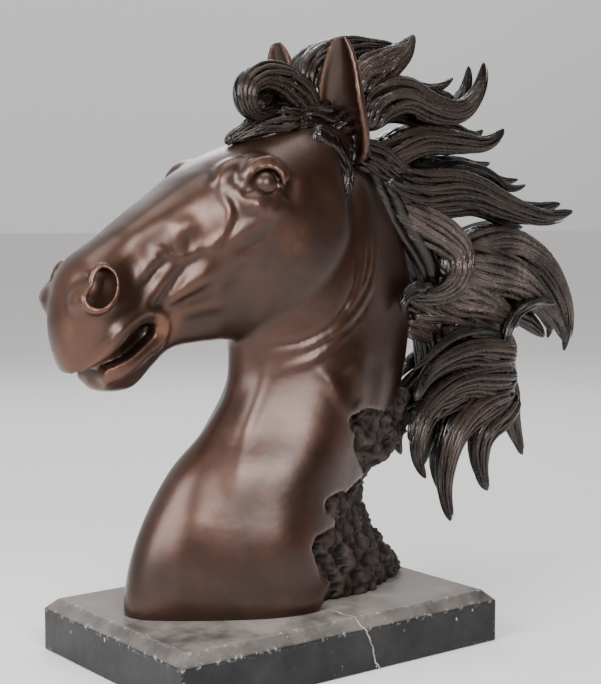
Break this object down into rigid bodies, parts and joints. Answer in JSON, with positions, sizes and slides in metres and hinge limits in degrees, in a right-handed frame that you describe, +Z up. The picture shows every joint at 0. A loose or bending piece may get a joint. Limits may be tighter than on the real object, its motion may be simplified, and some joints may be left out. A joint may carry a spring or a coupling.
{
  "type": "horse head sculpture",
  "caption": "Cast bronze horse's head and neck with a flowing mane, torn open at the back over rough rock, fixed on a bevelled black marble plinth.",
  "frame": {"origin": "centre of the plinth's underside, where the piece stands", "axes": "+Z up; the horse looks along -X; its left side faces -Y"},
  "size_m": [0.592, 0.22, 0.5399],
  "materials": {
    "bronze": "polished brown patina, darker and rougher in the mane and the rock",
    "marble": "honed black marble, dusty on top, with a thin white vein"
  },
  "bodies": {
    "root": {"bronze_horse_head": "bronze", "marble_plinth": "marble"}
  },
  "joints": []
}
